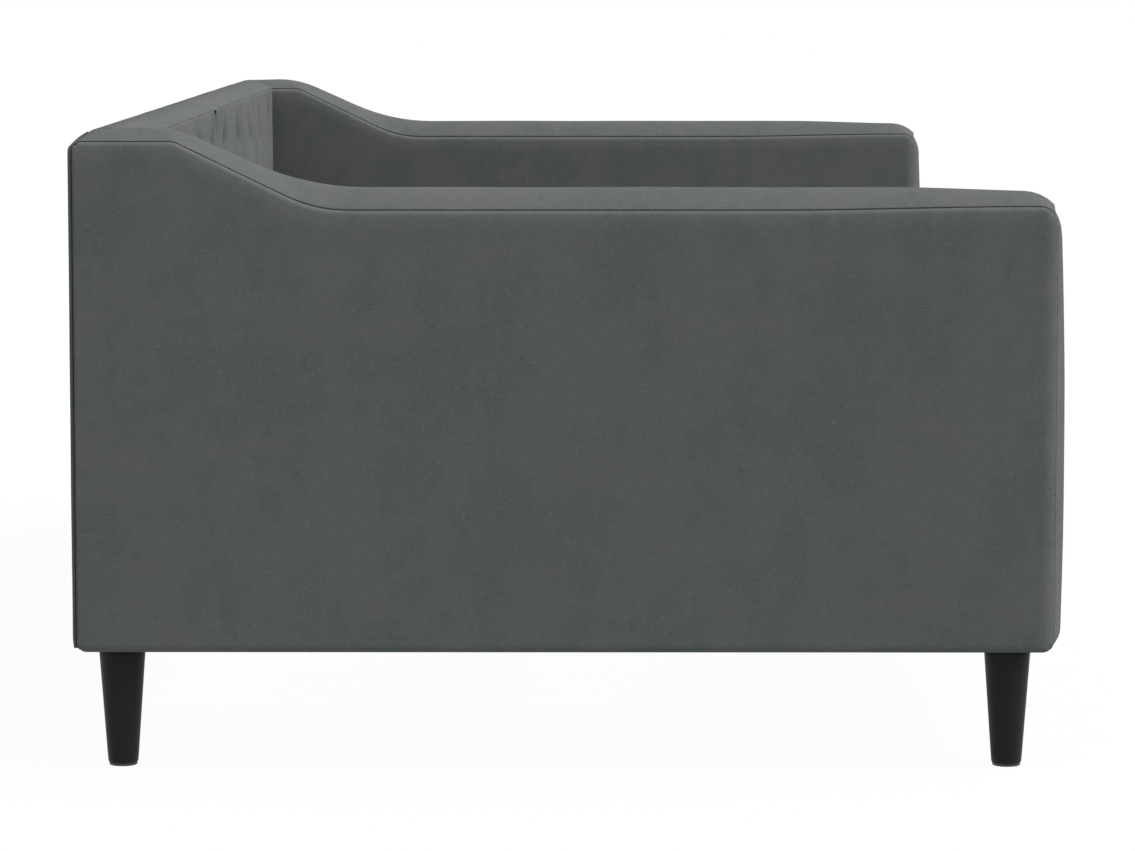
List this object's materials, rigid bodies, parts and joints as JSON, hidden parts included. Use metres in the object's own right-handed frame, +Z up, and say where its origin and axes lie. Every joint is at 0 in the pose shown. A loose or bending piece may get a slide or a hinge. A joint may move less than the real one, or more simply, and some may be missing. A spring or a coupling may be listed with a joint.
{
  "type": "daybed",
  "caption": "Daybed with a tufted padded backrest in two halves, padded arms that slope down from the back, a padded front rail, slatted base and short tapered legs",
  "frame": {"origin": "middle of the footprint, on the floor", "axes": "+X along the length, to the right as seen from the front; +Y to the rear; +Z up"},
  "size_m": [2.2, 1.05, 0.68],
  "materials": {
    "upholstery_fabric": "dark grey linen-look woven polyester over foam, soft sheen",
    "lining_cloth": "black non-woven lining cloth",
    "webbing": "black woven polyester webbing",
    "hardboard": "brown hardboard, smooth side out",
    "frame_timber": "sawn and planed pine, unfinished",
    "slat_wood": "planed pine slats, unfinished",
    "leg_black": "turned hardwood, satin black lacquer",
    "glide_plastic": "black moulded plastic",
    "zinc_steel": "bright zinc-plated steel"
  },
  "bodies": {
    "root": {"left_arm_outer_pad": "upholstery_fabric", "left_arm_inner_pad": "upholstery_fabric", "left_arm_band": "upholstery_fabric", "left_arm_boards": "hardboard", "left_arm_rails": "frame_timber", "left_arm_posts": "frame_timber", "left_arm_rear_panel": "upholstery_fabric", "left_arm_dust_cloth": "lining_cloth", "right_arm_outer_pad": "upholstery_fabric", "right_arm_inner_pad": "upholstery_fabric", "right_arm_band": "upholstery_fabric", "right_arm_boards": "hardboard", "right_arm_rails": "frame_timber", "right_arm_posts": "frame_timber", "right_arm_rear_panel": "upholstery_fabric", "right_arm_dust_cloth": "lining_cloth", "left_back_front_pad": "upholstery_fabric", "left_back_top_pad": "upholstery_fabric", "left_back_board": "hardboard", "left_back_rails": "frame_timber", "left_back_stiles": "frame_timber", "left_back_rear_panel": "upholstery_fabric", "left_back_buttons": "upholstery_fabric", "right_back_front_pad": "upholstery_fabric", "right_back_top_pad": "upholstery_fabric", "right_back_board": "hardboard", "right_back_rails": "frame_timber", "right_back_stiles": "frame_timber", "right_back_rear_panel": "upholstery_fabric", "right_back_buttons": "upholstery_fabric", "front_rail": "frame_timber", "front_rail_pad": "upholstery_fabric", "rear_rail": "frame_timber", "front_ledge": "frame_timber", "centre_beam": "frame_timber", "beam_holders": "zinc_steel", "slats": "slat_wood", "slat_straps": "webbing", "slat_screws": "zinc_steel", "rail_brackets": "zinc_steel", "bracket_bolts": "zinc_steel", "back_bolts": "zinc_steel", "corner_legs": "leg_black", "leg_studs": "zinc_steel", "leg_nuts": "zinc_steel", "leg_glides": "glide_plastic", "centre_leg": "leg_black", "centre_leg_stud": "zinc_steel", "centre_leg_glide": "glide_plastic"}
  },
  "joints": []
}
